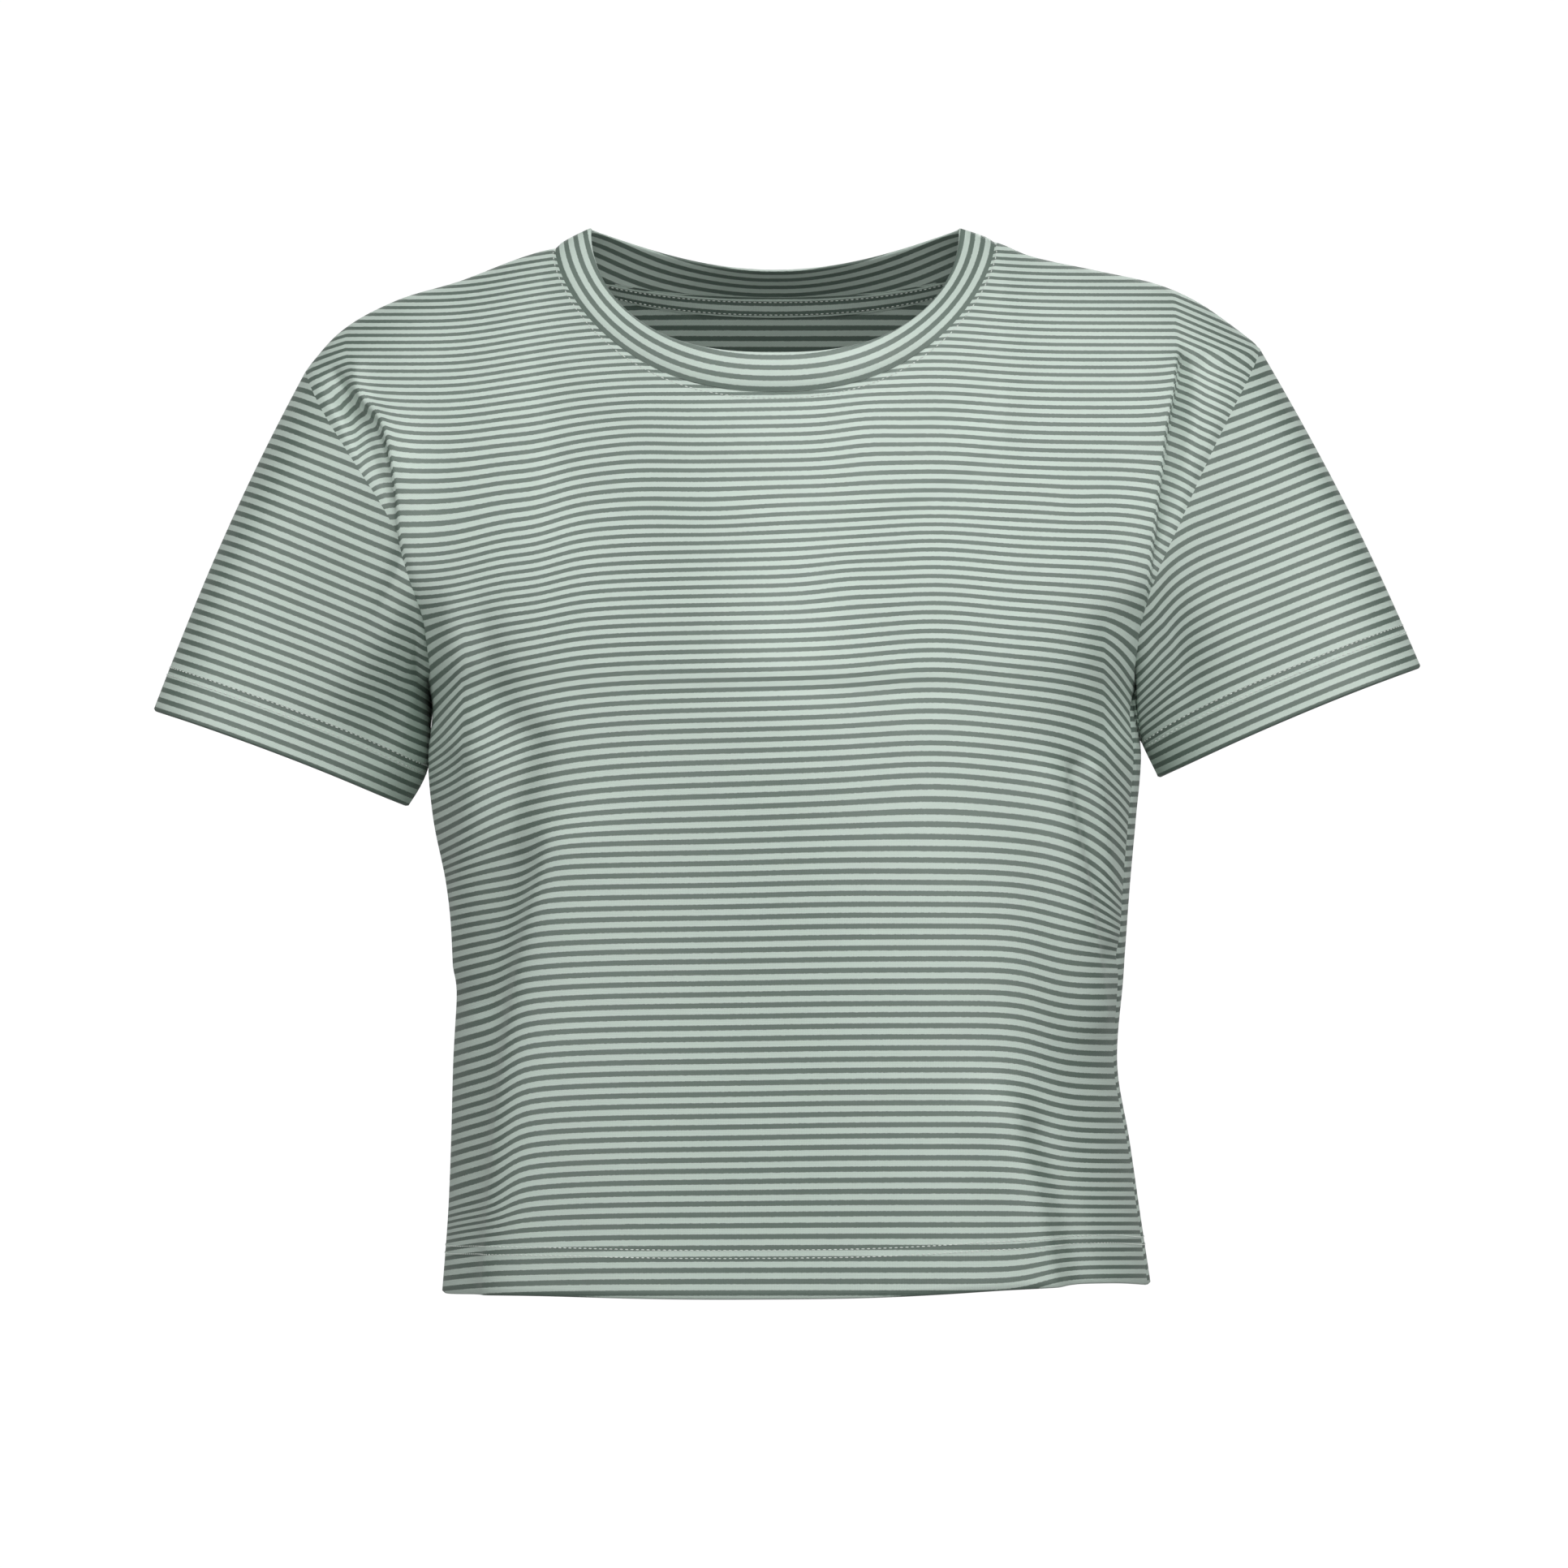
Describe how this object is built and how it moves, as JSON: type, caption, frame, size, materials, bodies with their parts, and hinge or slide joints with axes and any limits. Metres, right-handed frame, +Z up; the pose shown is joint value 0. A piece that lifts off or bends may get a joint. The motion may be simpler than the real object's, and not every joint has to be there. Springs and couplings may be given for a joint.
{
  "type": "crop top",
  "caption": "Striped short-sleeved crop top in worn form: front, back, set-in sleeves, crew neckband and back neck tape.",
  "frame": {"origin": "between the two neck points at shoulder height, where the wearer's shoulders hold the garment up", "axes": "+Z up, the front faces -Y, and +X points to the wearer's left, which is the right of the picture"},
  "size_m": [0.5884, 0.2516, 0.496],
  "materials": {
    "striped_jersey": "fine cotton jersey, narrow sage green and pale green stripes",
    "neckband_jersey": "doubled cotton jersey, narrow sage green and pale green stripes running round the neck"
  },
  "bodies": {
    "root": {"front": "striped_jersey", "back": "striped_jersey", "sleeve_right": "striped_jersey", "sleeve_left": "striped_jersey", "neckband": "neckband_jersey", "neck_tape": "neckband_jersey"}
  },
  "joints": []
}
